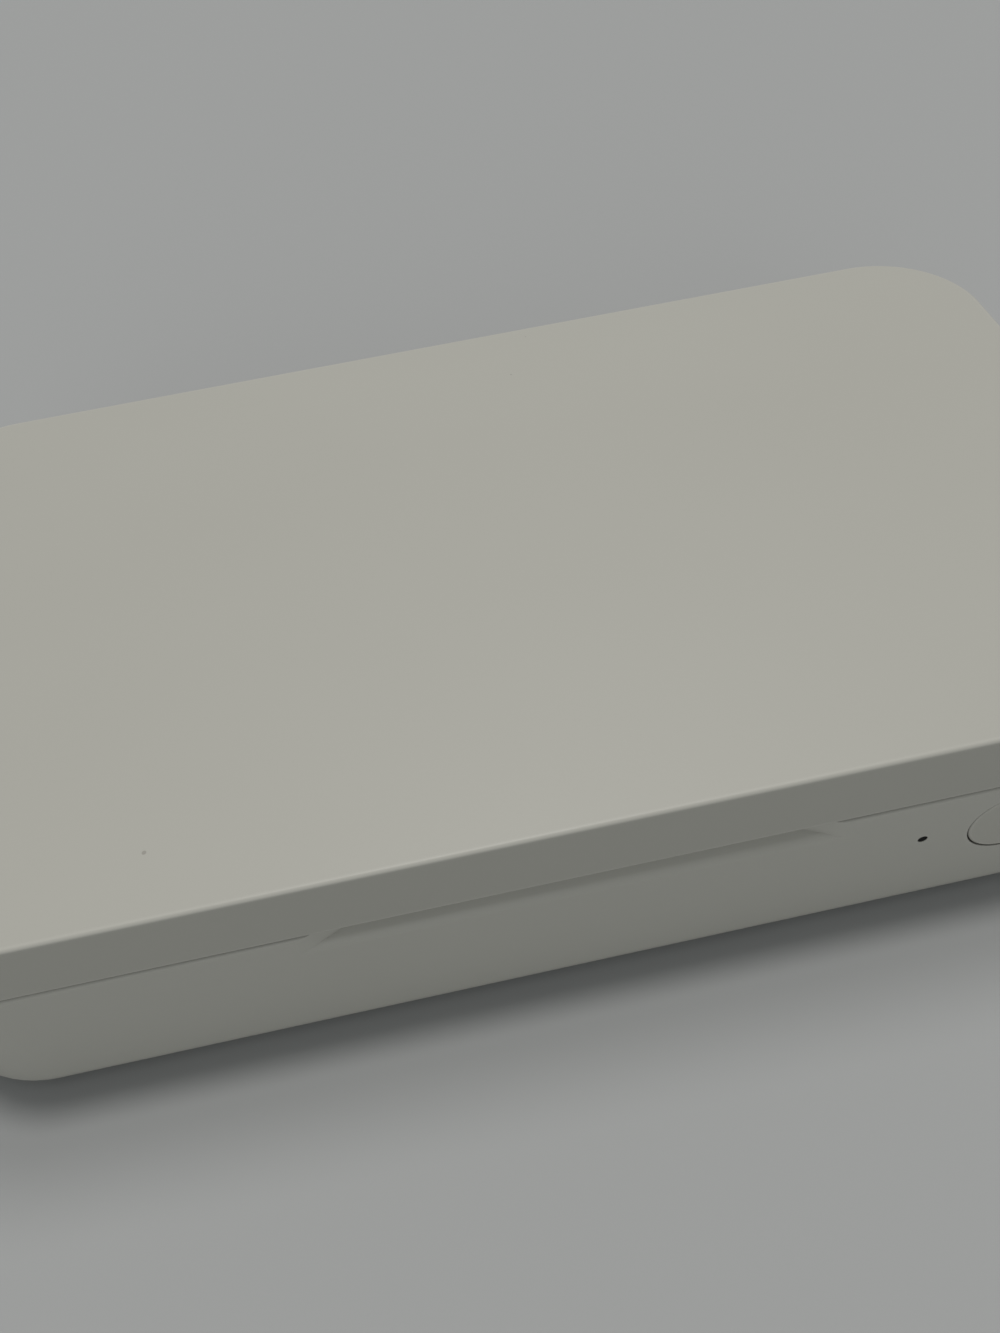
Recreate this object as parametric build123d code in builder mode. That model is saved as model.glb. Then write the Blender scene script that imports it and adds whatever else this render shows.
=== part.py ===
from build123d import *

import math
import os

os.makedirs("parts", exist_ok=True)

# Millimetres. X runs along the case, -Y is the front, Z is up, the origin is under its middle on the table.

# Case
case_length = 228.0
case_depth = 128.0
case_height = 49.0
corner_radius = 21.0
wall = 2.4
floor_thickness = 2.0
lid_top_thickness = 2.4
foot_lift = 1.2
base_edge_fillet = 4.0
lid_edge_fillet = 0.7
base_rim_fillet = 1.0
lid_rim_fillet = 0.3
seam_height = 34.9
seam_gap = 0.5
part_clearance = 0.2

# Chamber that holds the phone
chamber_border = 16.0
chamber_corner = 8.0
chamber_fillet = 2.6
moulding = 1.5
liner_gap = 0.1
flange_thickness = 2.0
rim_ring_width = 6.0
rim_ring_thickness = 3.0

# Light trap: the lid's lip drops into a rebate, and a seal lies in a groove outside it
lip_thickness = 1.2
lip_drop = 1.5
rebate_depth = 1.9
seal_inset = 2.4
seal_width = 2.2
seal_play = 0.05
seal_groove_depth = 1.3
seal_height = 1.6

# Lamps in their troughs: two in the chamber floor, one in the lid
lamp_wall_distance = 12.0
lamp_radius = 2.0
lamp_glass = 0.5
lamp_end_room = 8.0
trough_end_room = 14.0
trough_depth = 6.3
trough_half_top = 7.0
trough_half_bottom = 4.2
trough_wall = 1.1
trough_lift = 0.4
reflector_sheet = 0.5
boot_length = 9.0
boot_size = 5.6
boot_grip = 5.0
boot_bore_clearance = 0.02
electrode_radius = 1.0
electrode_length = 5.0
guard_thickness = 1.0
guard_margin = 2.0
guard_clearance = 0.1
guard_slot_width = 2.8
guard_slot_length = 11.0
guard_pitch = 6.0

# Charging pad and the phone's resting ribs
pad_margin = 3.0
pad_recess = 0.8
pad_thickness = 1.8
pad_ring_pitch = 5.0
pad_ring_count = 3
pad_ring_width = 1.2
pad_ring_depth = 0.4
coil_margin = 2.0
coil_inner_radius = 9.0
coil_thickness = 1.2
ferrite_margin = 0.5
ferrite_thickness = 0.9
rib_start = 34.0
rib_end_room = 8.0
rib_count = 5
rib_width = 1.6
rib_side_room = 3.0
rib_height = 1.0

# Hinge
hinge_end_inset = 54.0
barrel_radius = 2.9
barrel_inset = 0.1
barrel_room = 0.3
knuckle_length = 8.0
knuckle_gap = 0.3
pin_radius = 1.0
base_bore_clearance = 0.03
lid_bore_clearance = 0.06
hinge_block_height = 6.8
groove_angle = 50.0
groove_clearance = 0.15
rim_setback = 0.3

# Finger scoop in the base's front rim
scoop_length = 89.0
scoop_drop = 4.9
scoop_depth = 2.7
scoop_floor_rise = 1.6
scoop_end_ramp = 9.0
scoop_lead = 0.35
scoop_lead_drop = 0.8
scoop_lead_length = 2.0
scoop_lip_fillet = 3.0
scoop_end_fillet = 6.0
scoop_backing = 2.2
scoop_backing_rise = 7.25

# Power button, status light and their board
control_drop = 11.25
button_inset = 39.5
button_radius = 7.7
button_clearance = 0.25
button_travel = 0.6
button_skin = 1.6
button_fillet = 0.35
button_flange_radius = 8.8
button_flange_thickness = 1.2
button_stop_gap = 0.05
button_stem_radius = 2.4
light_spacing = 15.9
light_pipe_radius = 0.8
light_hole_clearance = 0.05
light_recess = 0.1
light_flange_radius = 1.6
light_flange_thickness = 1.0
led_width = 3.2
led_height = 1.8
led_depth = 1.6
switch_size = 6.2
switch_depth = 3.5
plunger_radius = 1.75
plunger_clearance = 0.1
plunger_reach = 0.9
plunger_length = 1.6
switch_board_length = 36.0
switch_board_height = 19.0
switch_board_setback = 7.0
switch_board_shift = 1.5
switch_board_drop = 1.9
switch_boss_inset = 3.2

# Boards and their supports
board_thickness = 1.6
board_lift = 1.6
board_corner = 1.5
board_post_radius = 2.2
board_post_inset = 3.2
board_pilot_radius = 0.85
board_screw_radius = 0.8
board_screw_head_radius = 1.8
board_screw_head_height = 1.2
board_screw_length = 3.0
board_side_room = 4.0
board_gap = 11.0
main_board_end_inset = 26.0
inverter_end_inset = 33.0
chip_size = 9.0
chip_height = 1.4
inductor_size = 8.0
inductor_height = 3.4
inductor_shift = 34.0
capacitor_radius = 2.8
capacitor_height = 3.6
inverter_length = 50.0
transformer_length = 24.0
transformer_depth = 15.0
transformer_height = 3.6
transformer_leg = 4.0
usb_board_length = 26.0
usb_board_depth = 11.0
usb_board_gap = 1.7

# USB-C socket in the rear wall
usb_width = 8.94
usb_height = 3.26
usb_shell = 0.3
usb_length = 7.35
usb_back = 0.9
usb_hole_clearance = 0.25
usb_mouth_recess = 0.3
usb_tongue_width = 6.7
usb_tongue_thickness = 0.7
usb_tongue_setback = 1.2

# Closing magnets, lid sensor
magnet_radius = 2.5
magnet_height = 2.5
magnet_end_inset = 22.0
magnet_front_inset = 8.5
magnet_skin = 0.6
magnet_clearance = 0.1
magnet_boss_wall = 1.5
sensor_end_inset = 48.0
sensor_front_inset = 7.0
sensor_length = 10.0
sensor_depth = 5.0
sensor_thickness = 1.6

# Case screws and feet
pillar_inset = 12.0
pillar_radius = 3.4
pillar_rise = 8.8
case_screw_radius = 1.25
case_screw_head_radius = 2.3
case_screw_head_height = 1.8
case_screw_length = 17.0
case_screw_recess = 1.0
pilot_clearance = 0.05
head_clearance = 0.3
lid_screw_length = 7.5
lid_screw_head_height = 0.9
lid_screw_seat = 1.0
foot_end_inset = 30.0
foot_side_inset = 20.0
foot_radius = 6.5
foot_recess = 0.8
foot_chamfer = 0.5

# Case halves, worked out from the sizes above
half_length = case_length / 2
half_depth = case_depth / 2
base_top = seam_height - seam_gap / 2
lid_bottom = seam_height + seam_gap / 2
base_floor = foot_lift + floor_thickness
lid_ceiling = case_height - lid_top_thickness
front_inside = -half_depth + wall
rear_inside = half_depth - wall
inner_length = case_length - 2 * wall
inner_depth = case_depth - 2 * wall
inner_corner = corner_radius - wall
flange_length = inner_length - 2 * part_clearance
flange_depth = inner_depth - 2 * part_clearance
flange_corner = inner_corner - part_clearance

# Chamber and lamps
chamber_length = case_length - 2 * chamber_border
chamber_depth = case_depth - 2 * chamber_border
chamber_floor = base_floor + trough_lift + trough_wall + trough_depth + guard_thickness
chamber_ceiling = lid_ceiling - liner_gap - moulding
tray_length = chamber_length + 2 * moulding
tray_depth = chamber_depth + 2 * moulding
tray_corner = chamber_corner + moulding
trough_length = chamber_length - 2 * trough_end_room
lamp_length = trough_length - 2 * lamp_end_room
lamp_offset = chamber_depth / 2 - lamp_wall_distance
guard_seat = chamber_floor - guard_thickness
lid_guard_seat = chamber_ceiling - trough_depth - reflector_sheet
lid_guard_low = lid_guard_seat - guard_thickness
guard_half_depth = trough_half_top + guard_margin
guard_length = trough_length + 2 * guard_margin
lamps = {
    "front": (-lamp_offset, guard_seat, -1),
    "rear": (lamp_offset, guard_seat, -1),
    "lid": (0.0, lid_guard_seat, 1),
}

# Pad, boards and socket
pad_radius = lamp_offset - guard_half_depth - pad_margin
pad_low = chamber_floor - pad_recess
coil_low = chamber_floor - moulding - coil_thickness
board_depth = 2 * (pad_radius - board_side_room)
board_bottom = base_floor + board_lift
board_top = board_bottom + board_thickness
inverter_x = half_length - inverter_end_inset - inverter_length / 2
main_board_length = case_length - main_board_end_inset - board_gap - inverter_length - inverter_end_inset
main_board_x = main_board_end_inset - half_length + main_board_length / 2
usb_board_y = rear_inside - usb_board_gap - usb_board_depth / 2
usb_middle = board_top + usb_height / 2
usb_mouth = half_depth - usb_mouth_recess

# Hinge
hinge_y = half_depth - barrel_inset - barrel_radius
slot_radius = barrel_radius + barrel_room
slot_length = knuckle_length + 2 * knuckle_gap
hinge_length = 5 * knuckle_length + 4 * knuckle_gap
groove_rise = math.tan(math.radians(groove_angle))
groove_edge = groove_clearance / math.cos(math.radians(groove_angle))
hinge_centres = [hinge_end_inset - half_length, half_length - hinge_end_inset]
knuckle_pitch = knuckle_length + knuckle_gap
base_knuckles = [centre + step * knuckle_pitch for centre in hinge_centres for step in (-2, 0, 2)]
lid_knuckles = [centre + step * knuckle_pitch for centre in hinge_centres for step in (-1, 1)]

# Button and its board
control_height = base_top - control_drop
button_x = half_length - button_inset
button_place = [(button_x, control_height)]
light_place = [(button_x - light_spacing, control_height)]
switch_board_front = front_inside + switch_board_setback
switch_board_middle = (button_x - switch_board_shift, control_height - switch_board_drop)
switch_front = switch_board_front - switch_depth
plunger_front = switch_front - plunger_reach
plunger_rear = plunger_front + plunger_length

# Screws, magnets and feet
pillar_x = half_length - pillar_inset
pillar_y = half_depth - pillar_inset
pillar_split = base_floor + pillar_rise
case_screw_seat = foot_lift + case_screw_recess + case_screw_head_height
magnet_low = base_top - magnet_skin - magnet_height
magnet_x = half_length - magnet_end_inset
magnet_y = magnet_front_inset - half_depth


def four_places(middle_x, middle_y, reach_x, reach_y):
    """Four places round a middle, as far from it as the reaches say."""
    return [(middle_x + i * reach_x, middle_y + j * reach_y) for i in (-1, 1) for j in (-1, 1)]


post_reach = board_depth / 2 - board_post_inset
main_posts = four_places(main_board_x, 0, main_board_length / 2 - board_post_inset, post_reach)
inverter_posts = four_places(inverter_x, 0, inverter_length / 2 - board_post_inset, post_reach)[::3]
usb_posts = [(side * (usb_board_length / 2 - board_post_inset), usb_board_y) for side in (-1, 1)]
floor_posts = main_posts + inverter_posts + usb_posts
switch_bosses = four_places(
    *switch_board_middle,
    switch_board_length / 2 - switch_boss_inset,
    switch_board_height / 2 - switch_boss_inset,
)[::3]
pillar_places = four_places(0, 0, pillar_x, pillar_y)
foot_places = four_places(0, 0, half_length - foot_end_inset, half_depth - foot_side_inset)
magnet_places = [(-magnet_x, magnet_y), (magnet_x, magnet_y)]


def plate(length, depth, radius, low, high, mode=Mode.ADD):
    """Rounded rectangle centred on the case, between two heights."""
    with BuildSketch(Plane.XY.offset(low)) as outline:
        RectangleRounded(length, depth, radius)
    extrude(outline.sketch, amount=high - low, mode=mode)


def chamber_ring(inset, width, low, high, mode=Mode.ADD):
    """Band round the chamber's opening, from inset outside it to inset plus width."""
    outer = inset + width
    with BuildSketch(Plane.XY.offset(low)) as band:
        RectangleRounded(chamber_length + 2 * outer, chamber_depth + 2 * outer, chamber_corner + outer)
        RectangleRounded(
            chamber_length + 2 * inset,
            chamber_depth + 2 * inset,
            chamber_corner + inset,
            mode=Mode.SUBTRACT,
        )
    extrude(band.sketch, amount=high - low, mode=mode)


def columns(places, radius, low, high, mode=Mode.ADD):
    """Upright cylinders at X and Y places, between two heights."""
    with BuildSketch(Plane.XY.offset(low)) as circles:
        with Locations(*places):
            Circle(radius)
    extrude(circles.sketch, amount=high - low, mode=mode)


def rods(places, radius, front, rear, mode=Mode.ADD):
    """Cylinders along Y at X and Z places, from a front plane back to a rear one."""
    with BuildSketch(Plane.XZ.offset(-rear)) as circles:
        with Locations(*places):
            Circle(radius)
    extrude(circles.sketch, amount=rear - front, mode=mode)


def cross_planes(centres, length):
    """Planes across X, each half a length before a centre."""
    return [Plane.YZ.offset(centre - length / 2) for centre in centres]


def bars(centres, length, place, radius, mode=Mode.ADD):
    """Cylinders along X, one for each centre, on the axis through a Y and Z place."""
    with BuildSketch(*cross_planes(centres, length)) as circles:
        with Locations(place):
            Circle(radius)
    extrude(circles.sketch, amount=length, mode=mode)


def barrels(centres, radius, length, mode=Mode.ADD):
    """Cylinders on the hinge axis, one for each centre."""
    bars(centres, length, (hinge_y, seam_height), radius, mode)


def hinge_blocks(rim, side):
    """Blocks that join the barrels to the rear wall, with sloped ends: side points away from the seam."""
    near = hinge_y - barrel_radius
    far = rear_inside + part_clearance
    with BuildSketch(*cross_planes(hinge_centres, hinge_length)) as section:
        with BuildLine():
            Polyline(
                (far, rim),
                (near, rim),
                (near, rim + side * hinge_block_height),
                (far, rim + side * (hinge_block_height + far - near)),
                close=True,
            )
        make_face()
    extrude(section.sketch, amount=hinge_length)


def rear_groove(side):
    """Cuts half of the V-shaped hinge groove: side is -1 for the base's half and 1 for the lid's."""
    reach = case_depth
    edge = seam_height + side * groove_edge
    with BuildSketch(*cross_planes([0], 2 * case_length)) as section:
        with BuildLine():
            Polyline(
                (hinge_y, edge),
                (hinge_y + reach, edge + side * reach * groove_rise),
                (hinge_y + reach, seam_height - side * reach),
                (hinge_y, seam_height - side * reach),
                close=True,
            )
        make_face()
    extrude(section.sketch, amount=2 * case_length, mode=Mode.SUBTRACT)


def trough(middle, seat, up, sheet=0.0, mode=Mode.ADD):
    """Space of a lamp trough, or what a lining of sheet leaves of it, with its wide side at the seat."""
    spread = trough_half_top - trough_half_bottom
    shift = sheet * math.hypot(trough_depth, spread) / trough_depth
    top = trough_half_top - shift
    bottom = trough_half_bottom + spread * sheet / trough_depth - shift
    deep = seat + up * (trough_depth - sheet)
    with BuildSketch(*cross_planes([0], trough_length)) as section:
        with BuildLine():
            Polyline(
                (middle - top, seat),
                (middle - bottom, deep),
                (middle + bottom, deep),
                (middle + top, seat),
                close=True,
            )
        make_face()
    extrude(section.sketch, amount=trough_length, mode=mode)


def trough_housing(middle):
    """Outside of a trough under the chamber floor, thick enough to carry the guard's ledge."""
    low = guard_seat - trough_depth - trough_wall
    shoulder = guard_seat - trough_wall
    wide = guard_half_depth + trough_wall
    narrow = trough_half_bottom + trough_wall
    length = guard_length + 2 * trough_wall
    with BuildSketch(*cross_planes([0], length)) as section:
        with BuildLine():
            Polyline(
                (middle - wide, chamber_floor),
                (middle - wide, shoulder),
                (middle - narrow, low),
                (middle + narrow, low),
                (middle + wide, shoulder),
                (middle + wide, chamber_floor),
                close=True,
            )
        make_face()
    extrude(section.sketch, amount=length)


def guard_recess(middle, low):
    """Cuts the seat that a lamp guard lies in."""
    with BuildSketch(Plane.XY.offset(low)) as outline:
        with Locations((0, middle)):
            Rectangle(guard_length, 2 * guard_half_depth)
    extrude(outline.sketch, amount=guard_thickness, mode=Mode.SUBTRACT)


def flange_clearances():
    """Clears the hinge and its groove out of the flanges that fill the two halves of the case."""
    notch_front = hinge_y - slot_radius - 2 * part_clearance
    with BuildSketch() as notches:
        with Locations(*[(centre, notch_front + half_depth) for centre in hinge_centres]):
            Rectangle(hinge_length + 4 * part_clearance, case_depth)
        with Locations((0, hinge_y - rim_setback + half_depth)):
            Rectangle(case_length, case_depth)
    extrude(notches.sketch, amount=case_height, mode=Mode.SUBTRACT)


# Tool that hollows the finger scoop: a cove that slopes in gently from below and from both ends
scoop_back = scoop_depth - half_depth
scoop_low = base_top - scoop_drop
with BuildPart() as scoop_cutter:
    with BuildSketch(Plane.YZ) as scoop_section:
        Polygon(
            (-half_depth - scoop_lead, scoop_low - scoop_lead_drop),
            (-half_depth + scoop_lead, scoop_low + scoop_lead_drop),
            (scoop_back, scoop_low + scoop_lead_drop + scoop_floor_rise),
            (scoop_back, base_top + seam_gap),
            (-half_depth - scoop_lead, base_top + seam_gap),
            align=None,
        )
        fillet(scoop_section.vertices().group_by(Axis.Y)[1], radius=scoop_lip_fillet)
    extrude(amount=half_length, both=True)
    with BuildSketch(Plane.XY.offset(scoop_low - scoop_lead_drop)) as scoop_plan:
        Polygon(
            (-scoop_length / 2 - scoop_lead_length, -half_depth - scoop_lead),
            (scoop_length / 2 + scoop_lead_length, -half_depth - scoop_lead),
            (scoop_length / 2 - scoop_lead_length, -half_depth + scoop_lead),
            (scoop_length / 2 - scoop_end_ramp, scoop_back),
            (scoop_end_ramp - scoop_length / 2, scoop_back),
            (scoop_lead_length - scoop_length / 2, -half_depth + scoop_lead),
            align=None,
        )
        fillet(scoop_plan.vertices().group_by(Axis.Y)[1:], radius=scoop_end_fillet)
    extrude(amount=case_height, mode=Mode.INTERSECT)

# Lower half of the case
with BuildPart() as base_shell:
    plate(case_length, case_depth, corner_radius, foot_lift, base_top)
    fillet(base_shell.edges().group_by(Axis.Z)[0], radius=base_edge_fillet)
    fillet(base_shell.edges().group_by(Axis.Z)[-1], radius=base_rim_fillet)
    plate(inner_length, inner_depth, inner_corner, base_floor, base_top, Mode.SUBTRACT)
    # Backing behind the scoop
    with BuildSketch(Plane.XY.offset(base_top - scoop_backing_rise)):
        with Locations((0, front_inside + scoop_backing / 2)):
            Rectangle(scoop_length + 2 * wall, scoop_backing + 2 * part_clearance)
    extrude(amount=scoop_backing_rise)
    # Posts for the boards, pillars for the case screws and bosses for the switch board
    columns(floor_posts, board_post_radius, base_floor, board_bottom)
    columns(pillar_places, pillar_radius, base_floor, pillar_split)
    rods(switch_bosses, board_post_radius, front_inside, switch_board_front)
    # Hinge groove, barrels and the slots that the lid's barrels turn in
    hinge_blocks(base_top, -1)
    rear_groove(-1)
    barrels(lid_knuckles, slot_radius, slot_length, Mode.SUBTRACT)
    barrels(base_knuckles, barrel_radius, knuckle_length)
    barrels(hinge_centres, pin_radius + base_bore_clearance, hinge_length, Mode.SUBTRACT)
    # Scoop, button hole, light hole and socket opening
    add(scoop_cutter.part, mode=Mode.SUBTRACT)
    rods(button_place, button_radius + button_clearance, -half_depth, front_inside, Mode.SUBTRACT)
    rods(light_place, light_pipe_radius + light_hole_clearance, -half_depth, front_inside, Mode.SUBTRACT)
    with BuildSketch(Plane.XZ.offset(-half_depth)):
        with Locations((0, usb_middle)):
            SlotOverall(usb_width + 2 * usb_hole_clearance, usb_height + 2 * usb_hole_clearance)
    extrude(amount=wall, mode=Mode.SUBTRACT)
    # Screw holes and foot recesses
    columns(floor_posts, board_pilot_radius, board_top - board_screw_length, board_bottom, Mode.SUBTRACT)
    columns(pillar_places, case_screw_radius + pilot_clearance, foot_lift, pillar_split, Mode.SUBTRACT)
    columns(
        pillar_places, case_screw_head_radius + head_clearance, foot_lift, case_screw_seat, Mode.SUBTRACT
    )
    rods(
        switch_bosses,
        board_pilot_radius,
        switch_board_front + board_thickness - board_screw_length,
        switch_board_front,
        Mode.SUBTRACT,
    )
    columns(foot_places, foot_radius + part_clearance / 2, foot_lift, foot_lift + foot_recess, Mode.SUBTRACT)
base_shell.part.label = "base_shell"
export_step(base_shell.part, "parts/base_shell.step")

# Chamber tray: the lower half of the chamber, with its floor, lamp troughs and the flange under the rim
with BuildPart() as chamber_tray:
    plate(tray_length, tray_depth, tray_corner, chamber_floor - moulding, base_top)
    fillet(chamber_tray.edges().group_by(Axis.Z)[0], radius=chamber_fillet)
    plate(flange_length, flange_depth, flange_corner, base_top - flange_thickness, base_top)
    chamber_ring(0, rim_ring_width, base_top - rim_ring_thickness, base_top)
    for middle in (-lamp_offset, lamp_offset):
        trough_housing(middle)
    columns(pillar_places, pillar_radius, pillar_split, base_top)
    columns(magnet_places, magnet_radius + magnet_boss_wall, magnet_low, base_top)
    # The chamber itself, with its rounded floor edge
    plate(chamber_length, chamber_depth, chamber_corner, chamber_floor, base_top, Mode.SUBTRACT)
    fillet(chamber_tray.edges(Select.LAST).group_by(Axis.Z)[0], radius=chamber_fillet)
    # Resting ribs for the phone
    rib_pitch = (chamber_length / 2 - rib_end_room - rib_start) / (rib_count - 1)
    rib_places = [(side * (rib_start + k * rib_pitch), 0) for side in (-1, 1) for k in range(rib_count)]
    rib_length = 2 * (lamp_offset - guard_half_depth - rib_side_room)
    with BuildSketch(Plane.XY.offset(chamber_floor - moulding / 2)):
        with Locations(*rib_places):
            Rectangle(rib_width, rib_length)
    extrude(amount=rib_height + moulding / 2)
    # Lamp troughs, guard seats, pad recess, seal groove and lip rebate
    for middle in (-lamp_offset, lamp_offset):
        trough(middle, guard_seat, -1, mode=Mode.SUBTRACT)
        guard_recess(middle, guard_seat)
    columns([(0, 0)], pad_radius + part_clearance / 2, pad_low, chamber_floor, Mode.SUBTRACT)
    chamber_ring(seal_inset, seal_width, base_top - seal_groove_depth, base_top, Mode.SUBTRACT)
    plate(tray_length, tray_depth, tray_corner, base_top - rebate_depth, base_top, Mode.SUBTRACT)
    # Magnet pockets, screw holes, and clearances for the hinge and the scoop's backing
    columns(
        magnet_places, magnet_radius + magnet_clearance, magnet_low, magnet_low + magnet_height, Mode.SUBTRACT
    )
    columns(
        pillar_places,
        case_screw_radius + pilot_clearance,
        pillar_split,
        case_screw_seat + case_screw_length,
        Mode.SUBTRACT,
    )
    flange_clearances()
    with BuildSketch(Plane.XY.offset(chamber_floor)):
        with Locations((0, front_inside)):
            Rectangle(
                scoop_length + 2 * wall + 2 * part_clearance,
                2 * (scoop_backing + 2 * part_clearance),
            )
    extrude(amount=base_top - chamber_floor, mode=Mode.SUBTRACT)
chamber_tray.part.label = "chamber_tray"
export_step(chamber_tray.part, "parts/chamber_tray.step")

# Upper half of the case
with BuildPart() as lid_shell:
    plate(case_length, case_depth, corner_radius, lid_bottom, case_height)
    fillet(lid_shell.edges().group_by(Axis.Z)[-1], radius=lid_edge_fillet)
    fillet(lid_shell.edges().group_by(Axis.Z)[0], radius=lid_rim_fillet)
    plate(inner_length, inner_depth, inner_corner, lid_bottom, lid_ceiling, Mode.SUBTRACT)
    columns(pillar_places, pillar_radius, lid_bottom + flange_thickness, lid_ceiling)
    hinge_blocks(lid_bottom, 1)
    rear_groove(1)
    barrels(base_knuckles, slot_radius, slot_length, Mode.SUBTRACT)
    barrels(lid_knuckles, barrel_radius, knuckle_length)
    barrels(hinge_centres, pin_radius + lid_bore_clearance, hinge_length, Mode.SUBTRACT)
    lid_screw_tip = lid_bottom + lid_screw_seat + lid_screw_length
    columns(
        pillar_places, case_screw_radius + pilot_clearance, lid_bottom, lid_screw_tip, Mode.SUBTRACT
    )
lid_shell.part.label = "lid_shell"
export_step(lid_shell.part, "parts/lid_shell.step")

# Lid liner: the upper half of the chamber, with its flange, lip and the channel that carries the lid's lamp
with BuildPart() as lid_liner:
    plate(tray_length, tray_depth, tray_corner, lid_bottom, chamber_ceiling + moulding)
    fillet(lid_liner.edges().group_by(Axis.Z)[-1], radius=chamber_fillet)
    plate(flange_length, flange_depth, flange_corner, lid_bottom, lid_bottom + flange_thickness)
    magnet_top = lid_bottom + magnet_skin + magnet_height
    columns(magnet_places, magnet_radius + magnet_boss_wall, lid_bottom, magnet_top)
    plate(chamber_length, chamber_depth, chamber_corner, lid_bottom, chamber_ceiling, Mode.SUBTRACT)
    fillet(lid_liner.edges(Select.LAST).group_by(Axis.Z)[-1], radius=chamber_fillet)
    chamber_ring(0, lip_thickness, lid_bottom - lip_drop, lid_bottom)
    plate(
        guard_length + 2 * trough_wall,
        2 * (guard_half_depth + trough_wall),
        trough_wall,
        lid_guard_low,
        chamber_ceiling + moulding / 2,
    )
    trough(0, lid_guard_seat, 1, mode=Mode.SUBTRACT)
    guard_recess(0, lid_guard_low)
    columns(
        magnet_places, magnet_radius + magnet_clearance, lid_bottom + magnet_skin, magnet_top, Mode.SUBTRACT
    )
    columns(
        pillar_places,
        case_screw_radius + pilot_clearance,
        lid_bottom,
        lid_bottom + flange_thickness,
        Mode.SUBTRACT,
    )
    columns(
        pillar_places,
        case_screw_head_radius + head_clearance,
        lid_bottom,
        lid_bottom + lid_screw_seat,
        Mode.SUBTRACT,
    )
    flange_clearances()
lid_liner.part.label = "lid_liner"
export_step(lid_liner.part, "parts/lid_liner.step")

# Each lamp: a folded reflector, a glass tube with an electrode and a boot at each end, and a slotted guard
for name, (middle, seat, up) in lamps.items():
    lamp_axis = (middle, seat + up * (trough_depth - reflector_sheet - boot_size / 2))
    lamp_end = lamp_length / 2

    with BuildPart() as reflector:
        trough(middle, seat, up)
        trough(middle, seat, up, reflector_sheet, Mode.SUBTRACT)
    reflector.part.label = f"{name}_reflector"
    export_step(reflector.part, f"parts/{name}_reflector.step")

    with BuildPart() as tube:
        bars([0], lamp_length, lamp_axis, lamp_radius)
        bars([0], lamp_length, lamp_axis, lamp_radius - lamp_glass, Mode.SUBTRACT)
    tube.part.label = f"{name}_uv_tube"
    export_step(tube.part, f"parts/{name}_uv_tube.step")

    # A stopper in each end of the glass, and a cup inside it
    with BuildPart() as electrodes:
        stopper = lamp_radius - lamp_glass - boot_bore_clearance
        stopper_middle = lamp_end - stopper / 2
        cup_middle = lamp_end - stopper - electrode_length / 2
        bars([-stopper_middle, stopper_middle], stopper, lamp_axis, stopper)
        bars([-cup_middle, cup_middle], electrode_length, lamp_axis, electrode_radius)
    electrodes.part.label = f"{name}_electrodes"
    export_step(electrodes.part, f"parts/{name}_electrodes.step")

    with BuildPart() as boots:
        boot_middle = lamp_end - boot_grip + boot_length / 2
        with BuildSketch(*cross_planes([-boot_middle, boot_middle], boot_length)):
            with Locations(lamp_axis):
                Rectangle(boot_size, boot_size)
        extrude(amount=boot_length)
        bars([0], lamp_length, lamp_axis, lamp_radius + boot_bore_clearance, Mode.SUBTRACT)
    boots.part.label = f"{name}_lamp_boots"
    export_step(boots.part, f"parts/{name}_lamp_boots.step")

    with BuildPart() as guard:
        with BuildSketch(Plane.XY.offset(min(seat, seat - up * guard_thickness))):
            with Locations((0, middle)):
                Rectangle(guard_length - 2 * guard_clearance, 2 * (guard_half_depth - guard_clearance))
                with GridLocations(guard_pitch, guard_pitch, int(lamp_length / guard_pitch), 1):
                    Rectangle(guard_slot_width, guard_slot_length, mode=Mode.SUBTRACT)
        extrude(amount=guard_thickness)
    guard.part.label = f"{name}_lamp_guard"
    export_step(guard.part, f"parts/{name}_lamp_guard.step")

# Soft charging pad with grip rings, let into the chamber floor
with BuildPart() as charging_pad:
    columns([(0, 0)], pad_radius, pad_low, pad_low + pad_thickness)
    for k in range(pad_ring_count):
        ring_radius = pad_radius - (k + 1) * pad_ring_pitch
        with BuildSketch(Plane.XY.offset(pad_low + pad_thickness - pad_ring_depth)):
            Circle(ring_radius + pad_ring_width)
            Circle(ring_radius, mode=Mode.SUBTRACT)
        extrude(amount=pad_ring_depth, mode=Mode.SUBTRACT)
charging_pad.part.label = "charging_pad"
export_step(charging_pad.part, "parts/charging_pad.step")

# Charging coil and its ferrite plate under the tray floor
with BuildPart() as charging_coil:
    columns([(0, 0)], pad_radius - coil_margin, coil_low, coil_low + coil_thickness)
    columns([(0, 0)], coil_inner_radius, coil_low, coil_low + coil_thickness, Mode.SUBTRACT)
charging_coil.part.label = "charging_coil"
export_step(charging_coil.part, "parts/charging_coil.step")

with BuildPart() as ferrite_plate:
    columns([(0, 0)], pad_radius - ferrite_margin, coil_low - ferrite_thickness, coil_low)
ferrite_plate.part.label = "ferrite_plate"
export_step(ferrite_plate.part, "parts/ferrite_plate.step")

# Circuit boards on the floor posts
boards = {
    "main_board": (main_board_x, 0, main_board_length, board_depth, main_posts),
    "inverter_board": (inverter_x, 0, inverter_length, board_depth, inverter_posts),
    "usb_board": (0, usb_board_y, usb_board_length, usb_board_depth, usb_posts),
}
for name, (x, y, length, depth, posts) in boards.items():
    with BuildPart() as board:
        with BuildSketch(Plane.XY.offset(board_bottom)):
            with Locations((x, y)):
                RectangleRounded(length, depth, board_corner)
            with Locations(*posts):
                Circle(board_screw_radius + pilot_clearance, mode=Mode.SUBTRACT)
        extrude(amount=board_thickness)
    board.part.label = name
    export_step(board.part, f"parts/{name}.step")

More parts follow.
